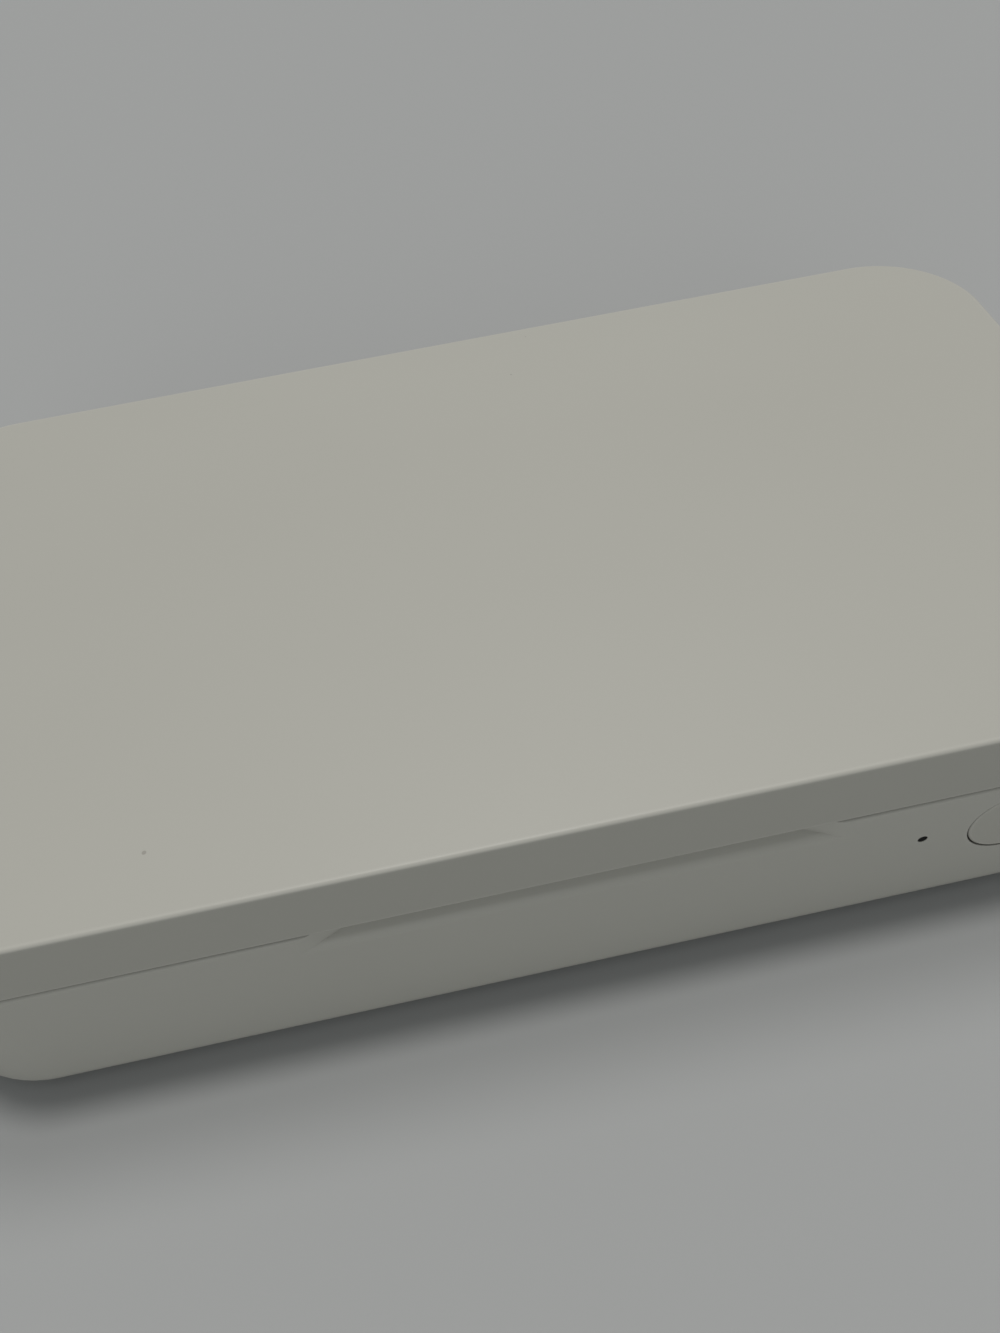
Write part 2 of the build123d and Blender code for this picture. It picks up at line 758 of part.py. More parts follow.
# Controller chips, power inductors and capacitors standing on the main board
with BuildPart() as board_components:
    chip_x = main_board_x + main_board_length / 2
    inductor_x = main_board_x - inductor_shift
    capacitor_x = inductor_x + 1.5 * inductor_size
    with BuildSketch(Plane.XY.offset(board_top)):
        with Locations(*[(chip_x - k * chip_size, 0) for k in (1, 3)]):
            Rectangle(chip_size, chip_size)
    extrude(amount=chip_height)
    with BuildSketch(Plane.XY.offset(board_top)):
        with Locations(*[(inductor_x, side * inductor_size) for side in (-1, 1)]):
            RectangleRounded(inductor_size, inductor_size, board_corner)
    extrude(amount=inductor_height)
    capacitors = [(capacitor_x, side * inductor_size) for side in (-1, 0, 1)]
    columns(capacitors, capacitor_radius, board_top, board_top + capacitor_height)
board_components.part.label = "board_components"
export_step(board_components.part, "parts/board_components.step")

# Lamp transformer: a ferrite core with two windows, and the windings that fill them
window_depth = transformer_depth - 2 * transformer_leg
window_length = (transformer_length - 3 * transformer_leg) / 2
window_shift = (transformer_leg + window_length) / 2
windows = [(inverter_x - window_shift, 0), (inverter_x + window_shift, 0)]
with BuildPart() as transformer_core:
    with BuildSketch(Plane.XY.offset(board_top)):
        with Locations((inverter_x, 0)):
            Rectangle(transformer_length, transformer_depth)
        with Locations(*windows):
            Rectangle(window_length, window_depth, mode=Mode.SUBTRACT)
    extrude(amount=transformer_height)
transformer_core.part.label = "transformer_core"
export_step(transformer_core.part, "parts/transformer_core.step")

with BuildPart() as transformer_windings:
    with BuildSketch(Plane.XY.offset(board_top)):
        with Locations(*windows):
            Rectangle(window_length - part_clearance, window_depth - part_clearance)
    extrude(amount=transformer_height - part_clearance)
transformer_windings.part.label = "transformer_windings"
export_step(transformer_windings.part, "parts/transformer_windings.step")

# Socket for the charging lead: a steel shell round a tongue, behind the slot in the rear wall
with BuildPart() as usb_socket:
    with BuildSketch(Plane.XZ.offset(-usb_mouth)):
        with Locations((0, usb_middle)):
            SlotOverall(usb_width, usb_height)
    extrude(amount=usb_length)
    with BuildSketch(Plane.XZ.offset(-usb_mouth)):
        with Locations((0, usb_middle)):
            SlotOverall(usb_width - 2 * usb_shell, usb_height - 2 * usb_shell)
    extrude(amount=usb_length - usb_back, mode=Mode.SUBTRACT)
    with BuildSketch(Plane.XZ.offset(-usb_mouth + usb_tongue_setback)):
        with Locations((0, usb_middle)):
            Rectangle(usb_tongue_width, usb_tongue_thickness)
    extrude(amount=usb_length - usb_tongue_setback - usb_back / 2)
usb_socket.part.label = "usb_socket"
export_step(usb_socket.part, "parts/usb_socket.step")

# Upright switch board behind the front wall
with BuildPart() as switch_board:
    with BuildSketch(Plane.XZ.offset(-switch_board_front - board_thickness)):
        with Locations(switch_board_middle):
            RectangleRounded(switch_board_length, switch_board_height, board_corner)
        with Locations(*switch_bosses):
            Circle(board_screw_radius + pilot_clearance, mode=Mode.SUBTRACT)
    extrude(amount=board_thickness)
switch_board.part.label = "switch_board"
export_step(switch_board.part, "parts/switch_board.step")

# Push switch on the switch board, and the plunger that slides in its bore
with BuildPart() as tact_switch:
    with BuildSketch(Plane.XZ.offset(-switch_board_front)):
        with Locations(*button_place):
            Rectangle(switch_size, switch_size)
    extrude(amount=switch_depth)
    bore_end = plunger_rear + 2 * button_travel
    rods(button_place, plunger_radius + plunger_clearance, switch_front, bore_end, Mode.SUBTRACT)
tact_switch.part.label = "tact_switch"
export_step(tact_switch.part, "parts/tact_switch.step")

with BuildPart() as switch_plunger:
    rods(button_place, plunger_radius, plunger_front, plunger_rear)
switch_plunger.part.label = "switch_plunger"
export_step(switch_plunger.part, "parts/switch_plunger.step")

# Round button cap: a hollow crown with a retaining flange behind the wall and a stem that meets the plunger
with BuildPart() as power_button:
    flange_front = front_inside + button_stop_gap
    flange_rear = flange_front + button_flange_thickness
    crown_inside = -half_depth + button_skin
    rods(button_place, button_radius, -half_depth, flange_rear)
    fillet(power_button.edges().sort_by(Axis.Y)[0], radius=button_fillet)
    rods(button_place, button_flange_radius, flange_front, flange_rear)
    rods(button_place, button_radius - button_skin, crown_inside, flange_rear, Mode.SUBTRACT)
    rods(button_place, button_stem_radius, crown_inside, plunger_front)
power_button.part.label = "power_button"
export_step(power_button.part, "parts/power_button.step")

# Status light: the diode on the board and the clear pipe that carries its light to the front
with BuildPart() as status_led:
    with BuildSketch(Plane.XZ.offset(-switch_board_front)):
        with Locations(*light_place):
            Rectangle(led_width, led_height)
    extrude(amount=led_depth)
status_led.part.label = "status_led"
export_step(status_led.part, "parts/status_led.step")

with BuildPart() as light_pipe:
    rods(light_place, light_pipe_radius, light_recess - half_depth, switch_board_front - led_depth)
    rods(light_place, light_flange_radius, front_inside, front_inside + light_flange_thickness)
light_pipe.part.label = "light_pipe"
export_step(light_pipe.part, "parts/light_pipe.step")

# Closing magnets, and the sensor that switches the lamps off when the lid is lifted
for name, low in (("base_magnets", magnet_low), ("lid_magnets", lid_bottom + magnet_skin)):
    with BuildPart() as magnets:
        columns(magnet_places, magnet_radius, low, low + magnet_height)
    magnets.part.label = name
    export_step(magnets.part, f"parts/{name}.step")

with BuildPart() as lid_sensor:
    with BuildSketch(Plane.XY.offset(base_top - flange_thickness - sensor_thickness)):
        with Locations((sensor_end_inset - half_length, sensor_front_inset - half_depth)):
            Rectangle(sensor_length, sensor_depth)
    extrude(amount=sensor_thickness)
lid_sensor.part.label = "lid_sensor"
export_step(lid_sensor.part, "parts/lid_sensor.step")

# Steel hinge pins
for name, centre in zip(("left_hinge_pin", "right_hinge_pin"), hinge_centres):
    with BuildPart() as hinge_pin:
        barrels([centre], pin_radius, hinge_length - 2 * part_clearance)
    hinge_pin.part.label = name
    export_step(hinge_pin.part, f"parts/{name}.step")

# Soft seal round the chamber's rim
with BuildPart() as rim_seal:
    seal_low = base_top - seal_groove_depth
    chamber_ring(seal_inset + seal_play, seal_width - 2 * seal_play, seal_low, seal_low + seal_height)
rim_seal.part.label = "rim_seal"
export_step(rim_seal.part, "parts/rim_seal.step")

# Feet
with BuildPart() as feet:
    columns(foot_places, foot_radius, 0, foot_lift + foot_recess)
    chamfer(feet.edges().group_by(Axis.Z)[0], length=foot_chamfer)
feet.part.label = "feet"
export_step(feet.part, "parts/feet.step")

# Screws with their heads underneath: long ones for the case, short ones for the lid's liner
screw_groups = {
    "case_screws": (case_screw_seat, case_screw_head_height, case_screw_length),
    "lid_screws": (lid_bottom + lid_screw_seat, lid_screw_head_height, lid_screw_length),
}
for name, (screw_seat, head_height, shank) in screw_groups.items():
    with BuildPart() as screws:
        columns(pillar_places, case_screw_head_radius, screw_seat - head_height, screw_seat)
        columns(pillar_places, case_screw_radius, screw_seat, screw_seat + shank)
    screws.part.label = name
    export_step(screws.part, f"parts/{name}.step")

# Small screws that hold the boards to their posts and bosses
with BuildPart() as board_screws:
    columns(floor_posts, board_screw_head_radius, board_top, board_top + board_screw_head_height)
    columns(floor_posts, board_screw_radius, board_top - board_screw_length, board_top)
    head_front = switch_board_front + board_thickness
    rods(switch_bosses, board_screw_head_radius, head_front, head_front + board_screw_head_height)
    rods(switch_bosses, board_screw_radius, head_front - board_screw_length, head_front)
board_screws.part.label = "board_screws"
export_step(board_screws.part, "parts/board_screws.step")
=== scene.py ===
import math

import bpy
from mathutils import Matrix, Vector

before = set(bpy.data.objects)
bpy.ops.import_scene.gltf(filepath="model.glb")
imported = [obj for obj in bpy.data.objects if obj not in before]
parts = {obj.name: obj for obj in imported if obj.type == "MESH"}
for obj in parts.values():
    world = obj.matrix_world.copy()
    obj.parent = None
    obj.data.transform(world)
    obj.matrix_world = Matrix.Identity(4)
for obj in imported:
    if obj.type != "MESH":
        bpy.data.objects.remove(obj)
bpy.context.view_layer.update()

print("sanitizer box: frame loaded with", len(parts), "parts")


class Wire:
    # one output socket; arithmetic on it adds Math nodes to the same material

    def __init__(self, tree, socket):
        self.tree = tree
        self.socket = socket

    def math(self, operation, first, second):
        node = self.tree.nodes.new("ShaderNodeMath")
        node.operation = operation
        for place, value in zip(node.inputs, (first, second)):
            if isinstance(value, Wire):
                self.tree.links.new(value.socket, place)
            else:
                place.default_value = value
        return Wire(self.tree, node.outputs[0])

    def __add__(self, other):
        return self.math("ADD", self, other)

    def __radd__(self, other):
        return self.math("ADD", other, self)

    def __sub__(self, other):
        return self.math("SUBTRACT", self, other)

    def __rsub__(self, other):
        return self.math("SUBTRACT", other, self)

    def __mul__(self, other):
        return self.math("MULTIPLY", self, other)

    def __rmul__(self, other):
        return self.math("MULTIPLY", other, self)

    def __lt__(self, other):
        return self.math("LESS_THAN", self, other)

    def __gt__(self, other):
        return self.math("GREATER_THAN", self, other)


class NodeTree:
    # the nodes of a material or a world, which all come from node()

    def __init__(self, tree):
        self.tree = tree

    def node(self, kind, settings=None, sockets=None, output=0):
        made = self.tree.nodes.new(kind)
        for key, value in (settings or {}).items():
            setattr(made, key, value)
        for key, value in (sockets or {}).items():
            self.feed(made.inputs[key], value)
        return Wire(self.tree, made.outputs[output])

    def feed(self, socket, value):
        if isinstance(value, Wire):
            self.tree.links.new(value.socket, socket)
        elif hasattr(value, "__len__") and len(value) == 3 and socket.type == "RGBA":
            socket.default_value = (*value, 1.0)
        else:
            socket.default_value = value


class Finish(NodeTree):
    # one Principled material, its constants set on the shader, and the patterns that finishes share

    def __init__(self, name, **constants):
        self.material = bpy.data.materials.new(name)
        self.material.use_nodes = True
        super().__init__(self.material.node_tree)
        self.shader = self.tree.nodes["Principled BSDF"]
        self.show(**constants)
        self.place = self.node("ShaderNodeTexCoord", output="Object")

    def show(self, **sockets):
        for key, value in sockets.items():
            self.feed(self.shader.inputs[key.replace("_", " ")], value)

    def noise(self, scale, detail=2.0, stretch=(1.0, 1.0, 1.0)):
        where = self.place
        if stretch != (1.0, 1.0, 1.0):
            where = self.node("ShaderNodeMapping", None, {"Vector": where, "Scale": stretch})
        return self.node("ShaderNodeTexNoise", None,
                         {"Vector": where, "Scale": scale, "Detail": detail, "Roughness": 0.5})

    def cells(self, scale, **settings):
        # distance from the middle, or the border, of scattered cells
        sockets = {"Vector": self.place, "Scale": scale, "Randomness": settings.pop("randomness", 1.0)}
        return self.node("ShaderNodeTexVoronoi", {"feature": "F1", **settings}, sockets, output="Distance")

    def blend(self, factor, first, second):
        # colour inputs of a Mix node are its sockets 6 and 7, and its colour output is 2
        return self.node("ShaderNodeMix", {"data_type": "RGBA", "blend_type": "MIX", "clamp_factor": True},
                         {0: factor, 6: first, 7: second}, output=2)

    def edges(self, radius):
        # 0 on open faces, up to 1 where the surface turns within the radius
        soft = self.node("ShaderNodeBevel", {"samples": 4}, {"Radius": radius})
        plain = self.node("ShaderNodeNewGeometry", output="Normal")
        facing = self.node("ShaderNodeVectorMath", {"operation": "DOT_PRODUCT"},
                           {0: soft, 1: plain}, output="Value")
        sockets = {"Value": facing, "From Min": 0.998, "From Max": 0.85, "To Min": 0.0, "To Max": 1.0}
        return self.node("ShaderNodeMapRange", {"clamp": True}, sockets)

    def paintedShadeInGaps(self, reach):
        # painted shade: 0 in the open, up to 1 deep in a gap narrower than the reach, where the light is
        # blocked
        clear = self.node("ShaderNodeAmbientOcclusion", {"samples": 4}, {"Distance": reach}, output="AO")
        return 1.0 - clear

    def bump(self, height, distance, strength, rounding=0.0):
        sockets = {"Height": height, "Distance": distance, "Strength": strength}
        if rounding:
            sockets["Normal"] = self.node("ShaderNodeBevel", {"samples": 4}, {"Radius": rounding})
        self.show(Normal=self.node("ShaderNodeBump", None, sockets))


def plasticFinish(name, look):
    # moulded plastic: faint flow mottle, fine spark-eroded grain, dust specks, pale edges that are partly
    # rubbed wear and partly a painted highlight, and painted shade in seams and recesses
    finish = Finish(name, IOR=1.46, Specular_IOR_Level=look["specular"])
    flow = finish.noise(look["flowScale"], 3.0, look["flowStretch"])
    grain = finish.noise(look["grainScale"], 2.0)
    size = finish.noise(look["speckScale"] * 0.5, 0.0)
    specks = (finish.cells(look["speckScale"]) < (size - 0.5) * look["speckSize"]) * look["speckShade"]
    # pale edges: partly rubbed wear, partly a painted highlight along the edges
    paleEdgePatches = finish.noise(look["paleEdgeScale"], 3.0) * look["paleEdgePatchy"] + look["paleEdgeEven"]
    paleEdges = finish.edges(look["paleEdgeRadius"]) * paleEdgePatches
    body = finish.blend(flow, look["color"], look["flowColor"])
    body = finish.blend(paleEdges * look["paleEdgeShare"], body, look["paleEdgeColor"])
    body = finish.blend(specks, body, look["speckColor"])
    # painted shade: the colour darkened in seams, gaps and recesses, where shade falls
    body = finish.blend(finish.paintedShadeInGaps(look["paintedShadeReach"]) * look["paintedShade"], body, look["paintedShadeColor"])
    gloss = (flow - 0.5) * look["flowRough"] + (grain - 0.5) * look["grainRough"] - paleEdges * look["wearShine"]
    finish.show(Base_Color=body, Roughness=look["roughness"] + gloss)
    height = grain * look["grainHeight"] + flow * look["flowHeight"]
    finish.bump(height, look["grainDepth"], look["grainStrength"], look["rounding"])
    return finish.material


shellLook = {
    "color": (0.374, 0.368, 0.333),
    "flowColor": (0.392, 0.387, 0.351),
    # colour of the pale edges: wear and painted highlight
    "paleEdgeColor": (0.560, 0.552, 0.510),
    "speckColor": (0.180, 0.170, 0.150),
    "specular": 0.34,
    "roughness": 0.46,
    "flowRough": 0.08,
    "grainRough": 0.06,
    "wearShine": 0.06,
    "flowScale": 9.0,
    "flowStretch": (1.0, 1.7, 1.0),
    "flowHeight": 0.3,
    "grainScale": 1500.0,
    "grainHeight": 0.7,
    "grainDepth": 0.00006,
    "grainStrength": 0.22,
    "speckScale": 55.0,
    "speckSize": 0.10,
    "speckShade": 0.5,
    # pale edges, partly wear and partly a painted highlight: their share, radius and patches
    "paleEdgeShare": 0.9,
    "paleEdgeRadius": 0.0011,
    "paleEdgeScale": 90.0,
    "paleEdgePatchy": 0.8,
    "paleEdgeEven": 0.3,
    # painted shade in seams, gaps and recesses: its share, reach and colour
    "paintedShade": 0.60,
    "paintedShadeReach": 0.0018,
    "paintedShadeColor": (0.165, 0.160, 0.140),
    "rounding": 0.00015,
}
# base: a lighter copy of the lid plastic, a painted lightening for the brighter light on the base's front,
# since the real parts are probably one plastic; it also gets stronger painted shade in its seam and scoop
# and weaker pale edges
baseLook = dict(
    shellLook,
    color=(0.414, 0.408, 0.371),
    flowColor=(0.431, 0.426, 0.389),
    paleEdgeShare=0.3,
    paintedShade=0.9,
    paintedShadeReach=0.0011,
)
buttonLook = dict(
    shellLook,
    color=(0.402, 0.395, 0.355),
    flowColor=(0.418, 0.412, 0.372),
    roughness=0.40,
    grainScale=2200.0,
    grainStrength=0.10,
    speckShade=0.0,
)
liningLook = dict(
    shellLook,
    color=(0.640, 0.640, 0.610),
    flowColor=(0.665, 0.665, 0.640),
    specular=0.5,
    roughness=0.30,
    grainStrength=0.05,
    speckSize=0.06,
)
guardLook = dict(
    shellLook,
    color=(0.500, 0.505, 0.490),
    flowColor=(0.530, 0.535, 0.520),
    roughness=0.42,
    grainStrength=0.12,
    speckShade=0.0,
)
blackLook = dict(
    shellLook,
    color=(0.016, 0.016, 0.017),
    flowColor=(0.024, 0.024, 0.025),
    paleEdgeColor=(0.070, 0.070, 0.072),
    # colour of the painted shade on the black parts
    paintedShadeColor=(0.050, 0.049, 0.046),
    roughness=0.42,
    speckShade=0.0,
)
lidPlastic = plasticFinish("lid plastic", shellLook)
basePlastic = plasticFinish("base plastic", baseLook)
buttonPlastic = plasticFinish("button plastic", buttonLook)
liningPlastic = plasticFinish("chamber lining", liningLook)
guardPlastic = plasticFinish("lamp guard plastic", guardLook)
blackPlastic = plasticFinish("black moulding", blackLook)
print("sanitizer box: plastics made")


def metalFinish(name, look):
    # rolled or plated metal: drawn streaks, small pits and bright rubbed edges
    finish = Finish(name, Metallic=1.0)
    streaks = finish.noise(look["streakScale"], 4.0, look["streakStretch"])
    smudges = finish.noise(look["smudgeScale"], 2.0)
    paleEdges = finish.edges(look["paleEdgeRadius"])
    tone = finish.blend(smudges, look["color"], look["dullColor"])
    tone = finish.blend(paleEdges * look["paleEdgeShare"], tone, look["brightColor"])
    gloss = (streaks - 0.5) * look["streakRough"] + (smudges - 0.5) * look["smudgeRough"]
    finish.show(Base_Color=tone, Roughness=look["roughness"] + gloss)
    finish.bump(streaks, look["depth"], look["strength"], look["rounding"])
    return finish.material


steelLook = {
    "color": (0.56, 0.56, 0.55),
    "dullColor": (0.47, 0.47, 0.46),
    "brightColor": (0.78, 0.78, 0.77),
    "roughness": 0.30,
    "streakRough": 0.22,
    "smudgeRough": 0.1,
    "streakScale": 700.0,
    "streakStretch": (0.15, 1.0, 1.0),
    "smudgeScale": 160.0,
    "paleEdgeShare": 0.6,
    "paleEdgeRadius": 0.00025,
    "depth": 0.00003,
    "strength": 0.25,
    "rounding": 0.00012,
}
mirrorLook = dict(
    steelLook,
    color=(0.86, 0.87, 0.88),
    dullColor=(0.78, 0.79, 0.80),
    brightColor=(0.93, 0.93, 0.94),
    roughness=0.14,
    streakRough=0.12,
    strength=0.12,
)
nickelLook = dict(
    steelLook,
    color=(0.66, 0.62, 0.56),
    dullColor=(0.55, 0.52, 0.47),
    brightColor=(0.83, 0.80, 0.74),
    roughness=0.24,
)
steelMetal = metalFinish("screw steel", steelLook)
mirrorMetal = metalFinish("reflector sheet", mirrorLook)
nickelMetal = metalFinish("plated nickel", nickelLook)


def windingFinish(name, look):
    # enamelled wire: round turns side by side, their tops shinier than the gaps, and the gaps darkened with
    # painted shade
    finish = Finish(name, Metallic=0.85)
    turns = finish.node("ShaderNodeTexWave",
                        {"wave_type": look["kind"], "wave_profile": "SIN", look["axis"]: look["direction"]},
                        {"Vector": finish.place, "Scale": look["turns"], "Distortion": 0.0})
    enamel = finish.noise(look["enamelScale"], 3.0)
    gaps = 1.0 - turns
    tone = finish.blend(enamel, look["color"], look["enamelColor"])
    # painted shade: the gaps between turns darkened towards the gap colour
    tone = finish.blend(gaps * look["gapShade"], tone, look["gapColor"])
    gloss = gaps * look["gapRough"] + (enamel - 0.5) * look["enamelRough"]
    finish.show(Base_Color=tone, Roughness=look["roughness"] + gloss)
    finish.bump(turns, look["wire"] * 0.5, look["strength"])
    return finish.material


coilLook = {
    "kind": "RINGS",
    "axis": "rings_direction",
    "direction": "Z",
    "turns": 220.0,
    "wire": 0.0006,
    "strength": 0.9,
    "roughness": 0.22,
    "gapRough": 0.35,
    "gapShade": 0.85,
    "enamelScale": 260.0,
    "enamelRough": 0.1,
    "color": (0.62, 0.26, 0.10),
    "enamelColor": (0.48, 0.17, 0.06),
    "gapColor": (0.06, 0.02, 0.01),
}
windingLook = dict(coilLook, kind="BANDS", axis="bands_direction", direction="X", turns=480.0, wire=0.0003)
coilCopper = windingFinish("coil copper", coilLook)
windingCopper = windingFinish("winding copper", windingLook)
print("sanitizer box: metals made")


def boardFinish(name, look):
    # glass-fibre board: green lacquer over stepped copper tracks, with tinned pads and a faint weave
    finish = Finish(name, IOR=1.5)
    spots = finish.cells(look["trackScale"], distance="MANHATTAN", randomness=0.9)
    steps = finish.node("ShaderNodeMath", {"operation": "PINGPONG"}, {0: spots, 1: look["trackPitch"]})
    tracks = steps < look["trackPitch"] * look["trackShare"]
    tinned = finish.cells(look["padScale"], distance="CHEBYCHEV", randomness=0.75) < look["padSize"]
    weave = finish.node("ShaderNodeTexChecker", None,
                        {"Vector": finish.place, "Scale": look["weaveScale"]}, output="Fac")
    shade = finish.noise(look["shadeScale"], 3.0)
    lacquer = finish.blend(shade, look["color"], look["darkColor"])
    lacquer = finish.blend(tracks * look["trackShow"], lacquer, look["trackColor"])
    gloss = (shade - 0.5) * look["shadeRough"] + weave * look["weaveRough"]
    finish.show(Base_Color=finish.blend(tinned, lacquer, look["padColor"]),
                Metallic=tinned * look["padMetal"], Roughness=look["roughness"] + gloss)
    height = tracks * look["trackHeight"] + tinned + weave * look["weaveHeight"]
    finish.bump(height, look["depth"], look["strength"])
    return finish.material


boardLook = {
    "color": (0.012, 0.110, 0.045),
    "darkColor": (0.008, 0.070, 0.030),
    "trackColor": (0.030, 0.210, 0.090),
    "padColor": (0.620, 0.600, 0.560),
    "trackScale": 60.0,
    "trackPitch": 0.075,
    "trackShare": 0.34,
    "trackShow": 0.8,
    "trackHeight": 0.6,
    "padScale": 230.0,
    "padSize": 0.12,
    "padMetal": 0.9,
    "roughness": 0.32,
    "shadeScale": 60.0,
    "shadeRough": 0.15,
    "weaveScale": 1600.0,
    "weaveRough": 0.04,
    "weaveHeight": 0.1,
    "depth": 0.00004,
    "strength": 0.5,
}
boardLacquer = boardFinish("circuit board", boardLook)


def rubberFinish(name, look):
    # silicone or soft-touch rubber: matt, with a fine dry bloom and lint
    finish = Finish(name, IOR=1.42, Specular_IOR_Level=look["specular"])
    bloom = finish.noise(look["bloomScale"], 4.0)
    grain = finish.noise(look["grainScale"], 2.0)
    lint = finish.cells(look["lintScale"], feature="DISTANCE_TO_EDGE") < look["lintWidth"]
    paleEdges = finish.edges(look["paleEdgeRadius"])
    tone = finish.blend(bloom, look["color"], look["bloomColor"])
    tone = finish.blend(lint * look["lint"] + paleEdges * look["paleEdgeShare"], tone, look["paleEdgeColor"])
    finish.show(Base_Color=tone, Roughness=look["roughness"] + (bloom - 0.5) * look["bloomRough"])
    height = grain
    if look["rings"]:
        rings = finish.node("ShaderNodeTexWave", {"wave_type": "RINGS", "rings_direction": "Z"},
                            {"Vector": finish.place, "Scale": look["rings"]})
        height = grain * look["grainHeight"] + rings
    finish.bump(height, look["depth"], look["strength"], look["rounding"])
    return finish.material


padLook = {
    "color": (0.070, 0.072, 0.075),
    "bloomColor": (0.095, 0.097, 0.100),
    "paleEdgeColor": (0.170, 0.172, 0.175),
    "specular": 0.3,
    "roughness": 0.62,
    "bloomScale": 70.0,
    "bloomRough": 0.14,
    "lint": 0.25,
    "lintScale": 130.0,
    "lintWidth": 0.004,
    "paleEdgeShare": 0.3,
    "paleEdgeRadius": 0.0004,
    "grainScale": 1800.0,
    "grainHeight": 0.2,
    "rings": 105.0,
    "depth": 0.0001,
    "strength": 0.35,
    "rounding": 0.0002,
}
footLook = dict(
    padLook,
    color=(0.018, 0.018, 0.019),
    bloomColor=(0.030, 0.030, 0.031),
    paleEdgeColor=(0.080, 0.080, 0.082),
    rings=0.0,
    strength=0.2,
)
sealLook = dict(
    footLook,
    color=(0.330, 0.330, 0.320),
    bloomColor=(0.370, 0.370, 0.360),
    paleEdgeColor=(0.450, 0.450, 0.440),
)
bootLook = dict(
    footLook,
    color=(0.560, 0.555, 0.540),
    bloomColor=(0.610, 0.605, 0.590),
    paleEdgeColor=(0.680, 0.675, 0.660),
)
padRubber = rubberFinish("charging pad rubber", padLook)
footRubber = rubberFinish("foot rubber", footLook)
sealRubber = rubberFinish("seal silicone", sealLook)
bootRubber = rubberFinish("lamp boot silicone", bootLook)


def ferriteFinish(name, look):
    # pressed ferrite: dark, slightly crystalline, with pale chips at the edges
    finish = Finish(name, Metallic=0.25)
    crystals = finish.cells(look["crystalScale"])
    stain = finish.noise(look["stainScale"], 4.0)
    chips = finish.edges(look["chipRadius"]) * finish.noise(look["chipScale"], 2.0)
    tone = finish.blend(stain, look["color"], look["stainColor"])
    tone = finish.blend(chips, tone, look["chipColor"])
    finish.show(Base_Color=tone, Roughness=look["roughness"] + (crystals - 0.5) * look["crystalRough"])
    finish.bump(crystals, look["depth"], look["strength"])
    return finish.material


ferriteLook = {
    "color": (0.030, 0.029, 0.031),
    "stainColor": (0.048, 0.046, 0.047),
    "chipColor": (0.130, 0.125, 0.125),
    "crystalScale": 1400.0,
    "crystalRough": 0.2,
    "stainScale": 85.0,
    "chipScale": 500.0,
    "chipRadius": 0.0003,
    "roughness": 0.50,
    "depth": 0.00005,
    "strength": 0.3,
}
ferriteBlock = ferriteFinish("pressed ferrite", ferriteLook)


def glassFinish(name, look):
    # clear or tinted glass and acrylic, with faint drawn lines and finger haze
    finish = Finish(name, IOR=look["ior"], Transmission_Weight=look["clear"],
                    Specular_IOR_Level=look["specular"])
    haze = finish.noise(look["hazeScale"], 3.0, look["hazeStretch"])
    tint = finish.blend(haze, look["color"], look["hazeColor"])
    finish.show(Base_Color=tint, Roughness=look["roughness"] + haze * look["hazeRough"])
    finish.bump(haze, look["depth"], look["strength"])
    return finish.material


tubeLook = {
    "color": (0.86, 0.92, 0.96),
    "hazeColor": (0.70, 0.80, 0.88),
    "ior": 1.46,
    "specular": 0.5,
    "clear": 0.75,
    "roughness": 0.03,
    "hazeRough": 0.12,
    "hazeScale": 55.0,
    "hazeStretch": (0.15, 1.0, 1.0),
    "depth": 0.00002,
    "strength": 0.1,
}
lensLook = dict(
    tubeLook,
    color=(0.003, 0.003, 0.003),
    hazeColor=(0.005, 0.005, 0.005),
    specular=0.12,
    clear=0.0,
    roughness=0.45,
    hazeScale=500.0,
    hazeStretch=(1.0, 1.0, 1.0),
)
ledLook = dict(
    tubeLook,
    color=(0.78, 0.80, 0.74),
    hazeColor=(0.66, 0.68, 0.60),
    clear=0.35,
    roughness=0.12,
    hazeScale=700.0,
    hazeStretch=(1.0, 1.0, 1.0),
)
quartzGlass = glassFinish("quartz tube", tubeLook)
smokedLens = glassFinish("smoked lens", lensLook)
ledResin = glassFinish("light resin", ledLook)
print("sanitizer box: rubbers, boards and glass made")

# which finish each part wears
wearing = {
    "base_shell": basePlastic,
    "lid_shell": lidPlastic,
    "power_button": buttonPlastic,
    "switch_plunger": blackPlastic,
    "chamber_tray": liningPlastic,
    "lid_liner": liningPlastic,
    "charging_pad": padRubber,
    "charging_coil": coilCopper,
    "ferrite_plate": ferriteBlock,
    "transformer_core": ferriteBlock,
    "transformer_windings": windingCopper,
    "usb_socket": steelMetal,
    "tact_switch": blackPlastic,
    "board_components": blackPlastic,
    "status_led": ledResin,
    "light_pipe": smokedLens,
    "lid_sensor": blackPlastic,
    "rim_seal": sealRubber,
    "feet": footRubber,
    "left_hinge_pin": steelMetal,
    "right_hinge_pin": steelMetal,
}
endings = {
    "_reflector": mirrorMetal,
    "_uv_tube": quartzGlass,
    "_electrodes": nickelMetal,
    "_lamp_boots": bootRubber,
    "_lamp_guard": guardPlastic,
    "_magnets": nickelMetal,
    "_screws": steelMetal,
    "_board": boardLacquer,
}


def finishFor(name):
    if name in wearing:
        return wearing[name]
    return next(finish for ending, finish in endings.items() if name.endswith(ending))


for name, part in parts.items():
    part.data.materials.clear()
    part.data.materials.append(finishFor(name))
print("sanitizer box: finishes on all parts")


# floor: pale sheet under the feet, fading into the same pale backdrop
floorLook = {
    "size": 6.0,
    "color": (0.349, 0.354, 0.355),
    "shade": (0.343, 0.349, 0.350),
    "cloudScale": 3.0,
    "cloudRough": 0.02,
    "roughness": 0.85,
}


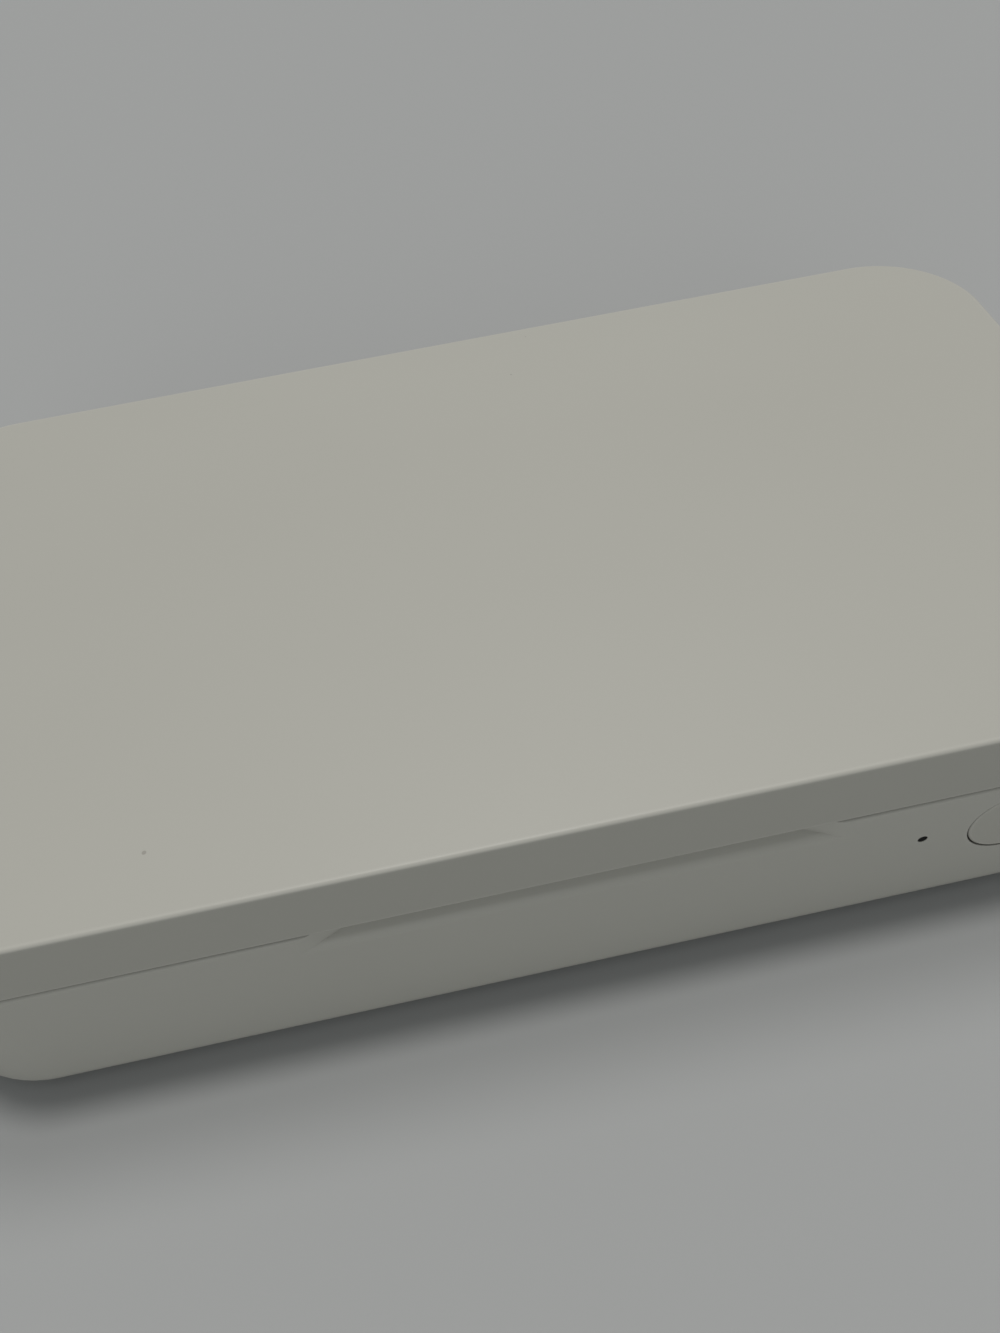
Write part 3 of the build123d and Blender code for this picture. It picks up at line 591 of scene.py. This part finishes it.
def makeFloor(look):
    half = look["size"] / 2
    corners = [(-half, -half, 0), (half, -half, 0), (half, half, 0), (-half, half, 0)]
    mesh = bpy.data.meshes.new("floor")
    mesh.from_pydata(corners, [], [(0, 1, 2, 3)])
    floor = bpy.data.objects.new("floor", mesh)
    bpy.context.scene.collection.objects.link(floor)
    finish = Finish("floor paper", Specular_IOR_Level=0.0)
    cloud = finish.noise(look["cloudScale"], 2.0)
    finish.show(Base_Color=finish.blend(cloud, look["color"], look["shade"]),
                Roughness=look["roughness"] + cloud * look["cloudRough"])
    floor.data.materials.append(finish.material)


makeFloor(floorLook)

# camera, held a little above and to the right of the box's front
cameraLook = {
    "place": (-0.014289, -0.146876, 0.188150),
    "azimuth": -0.0827,
    "elevation": 0.8723,
    "roll": -0.1367,
    "lens": 29.707,
    "sensor": 36.0,
    "nearest": 0.005,
}


def makeCamera(look):
    azimuth, elevation, roll = look["azimuth"], look["elevation"], look["roll"]
    flat = math.cos(elevation)
    forward = Vector((-math.sin(azimuth) * flat, math.cos(azimuth) * flat, -math.sin(elevation)))
    side = forward.cross(Vector((0, 0, 1))).normalized()
    above = side.cross(forward)
    right = side * math.cos(roll) + above * math.sin(roll)
    up = above * math.cos(roll) - side * math.sin(roll)
    data = bpy.data.cameras.new("camera")
    data.sensor_width = look["sensor"]
    data.lens = look["lens"]
    data.clip_start = look["nearest"]
    camera = bpy.data.objects.new("camera", data)
    turn = Matrix((right, up, -forward)).transposed().to_4x4()
    camera.matrix_world = Matrix.Translation(look["place"]) @ turn
    bpy.context.scene.collection.objects.link(camera)
    bpy.context.scene.camera = camera


makeCamera(cameraLook)

# three broad, far-off lights: two overhead and a little behind, one low in front
ceilingLook = {
    "from": (0.00, 0.31, 2.97),
    "spread": 7.5,
    "strength": 1.215,
    "color": (1.0, 0.985, 0.960),
}
backLook = {
    "from": (0.25, 1.02, 2.80),
    "spread": 18.0,
    "strength": 0.84,
    "color": (1.0, 0.990, 0.970),
}
frontLook = {
    "from": (-0.30, -2.45, 0.80),
    "spread": 31.0,
    "strength": 0.45,
    "color": (0.97, 1.0, 0.985),
}
roomLook = {
    "color": (0.975, 1.0, 0.995),
    "strength": 0.306,
    "backdrop": (0.340, 0.344, 0.341),
}


def makeLamp(name, look):
    data = bpy.data.lights.new(name, "SUN")
    data.angle = math.radians(look["spread"])
    data.energy = look["strength"]
    data.color = look["color"]
    lamp = bpy.data.objects.new(name, data)
    lamp.location = look["from"]
    lamp.rotation_euler = Vector(look["from"]).to_track_quat("Z", "Y").to_euler()
    bpy.context.scene.collection.objects.link(lamp)


def makeRoom(look):
    # even light on the object, and the floor's own colour wherever the backdrop is seen or mirrored
    room = bpy.data.worlds.new("room")
    room.use_nodes = True
    room.node_tree.nodes.remove(room.node_tree.nodes["Background"])
    nodes = NodeTree(room.node_tree)
    kinds = ("Is Camera Ray", "Is Glossy Ray", "Is Transmission Ray")
    seen, mirrored, through = (nodes.node("ShaderNodeLightPath", output=kind) for kind in kinds)
    light = nodes.node("ShaderNodeBackground", None, {"Color": look["color"], "Strength": look["strength"]})
    backdrop = nodes.node("ShaderNodeBackground", None, {"Color": look["backdrop"]})
    mixed = nodes.node("ShaderNodeMixShader", None, {0: seen + mirrored + through, 1: light, 2: backdrop})
    nodes.feed(nodes.tree.nodes["World Output"].inputs["Surface"], mixed)
    bpy.context.scene.world = room


makeLamp("ceilingLight", ceilingLook)
makeLamp("backLight", backLook)
makeLamp("frontFill", frontLook)
makeRoom(roomLook)
bpy.context.scene.view_settings.view_transform = "Standard"
print("sanitizer box: floor, camera and light placed")
